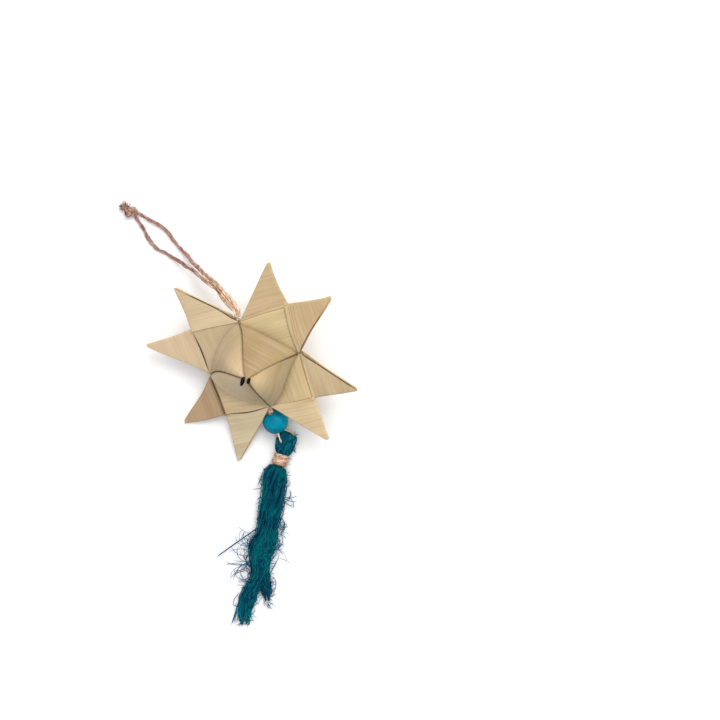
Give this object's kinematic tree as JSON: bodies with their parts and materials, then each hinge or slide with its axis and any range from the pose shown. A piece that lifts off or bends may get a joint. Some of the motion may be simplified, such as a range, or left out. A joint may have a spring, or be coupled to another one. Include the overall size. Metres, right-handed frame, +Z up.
{
  "type": "woven star ornament",
  "caption": "Hanging star woven of flat palm leaf strips, with flat folded points, hollow cones front and back, a twine loop, a wooden bead and a dyed fibre tassel.",
  "frame": {"origin": "bottom centre of the lying ornament's box, without the free cord", "axes": "+Z up from the surface it lies on, +Y from the tassel's end to the top of the star, +X to the right as seen from above"},
  "size_m": [0.1111, 0.1987, 0.0372],
  "materials": {
    "palm_leaf": "dry leaf with fine parallel grain, satin",
    "dark_thread": "spun thread",
    "jute_twine": "two-ply natural twine, hairy",
    "painted_bead": "glossy teal stain",
    "dyed_fibre": "dyed jute fibre, wavy and matt"
  },
  "bodies": {
    "root": {"leaf_strip_1": "palm_leaf", "leaf_strip_2": "palm_leaf", "leaf_strip_3": "palm_leaf", "leaf_strip_4": "palm_leaf", "stitch_thread_front": "dark_thread", "stitch_thread_back": "dark_thread", "hanging_cord_left": "jute_twine", "hanging_cord_right": "jute_twine", "cord_knot": "jute_twine", "bead_cord": "jute_twine", "bead": "painted_bead", "tassel": "dyed_fibre", "tassel_wrap": "jute_twine"}
  },
  "joints": []
}
